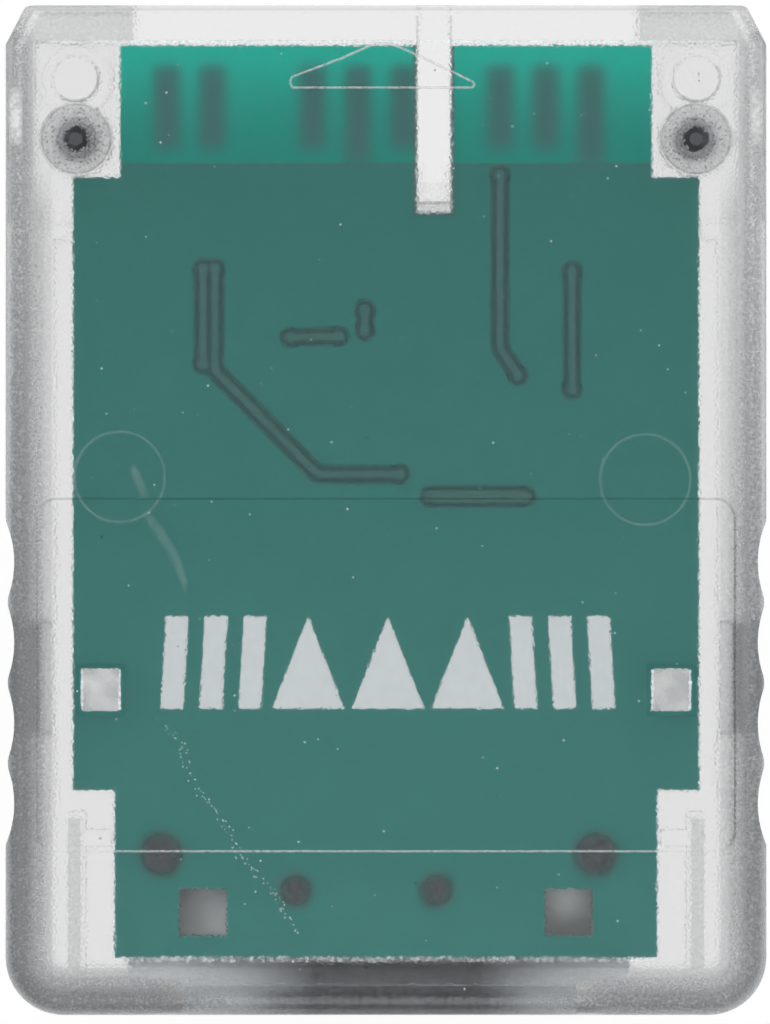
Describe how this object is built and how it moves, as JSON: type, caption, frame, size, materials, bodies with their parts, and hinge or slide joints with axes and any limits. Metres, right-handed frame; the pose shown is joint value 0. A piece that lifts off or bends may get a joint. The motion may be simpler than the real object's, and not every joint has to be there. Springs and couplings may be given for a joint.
{
  "type": "memory card adapter",
  "caption": "Clear frosted card-shaped case with finger grips, holding a green circuit board with edge contacts, a key channel and a flash card socket at its rear edge.",
  "frame": {"origin": "on the back face, under the middle of the case", "axes": "+Y towards the connector end, +Z from the back face to the front face, +X to the right seen from the front"},
  "size_m": [0.042, 0.0558, 0.0078],
  "materials": {
    "clear_case": "clear moulded plastic with a light frost",
    "green_board": "glass epoxy board under green solder resist",
    "gold_plating": "gold plated copper",
    "black_socket": "moulded, matt",
    "shield_steel": "rolled stainless sheet",
    "spring_bronze": "gold flashed bronze strip",
    "screw_steel": "zinc plated",
    "chip_black": "glazed chip with tinned ends",
    "tan_ceramic": "ceramic chip with tinned ends"
  },
  "bodies": {
    "root": {"back_cover": "clear_case", "bypass_capacitor": "tan_ceramic", "card_detect_spring": "spring_bronze", "case_screws": "screw_steel", "circuit_board": "green_board", "contact_pad_1": "gold_plating", "contact_pad_2": "gold_plating", "contact_pad_3": "gold_plating", "contact_pad_4": "gold_plating", "contact_pad_5": "gold_plating", "contact_pad_6": "gold_plating", "contact_pad_7": "gold_plating", "contact_pad_8": "gold_plating", "front_cover": "clear_case", "resistor_1": "chip_black", "resistor_2": "chip_black", "resistor_3": "chip_black", "resistor_4": "chip_black", "socket_base": "black_socket", "socket_contact_1": "spring_bronze", "socket_contact_2": "spring_bronze", "socket_contact_3": "spring_bronze", "socket_contact_4": "spring_bronze", "socket_contact_5": "spring_bronze", "socket_contact_6": "spring_bronze", "socket_contact_7": "spring_bronze", "socket_contact_8": "spring_bronze", "socket_contact_9": "spring_bronze", "socket_shield": "shield_steel", "write_protect_spring": "spring_bronze"}
  },
  "joints": []
}
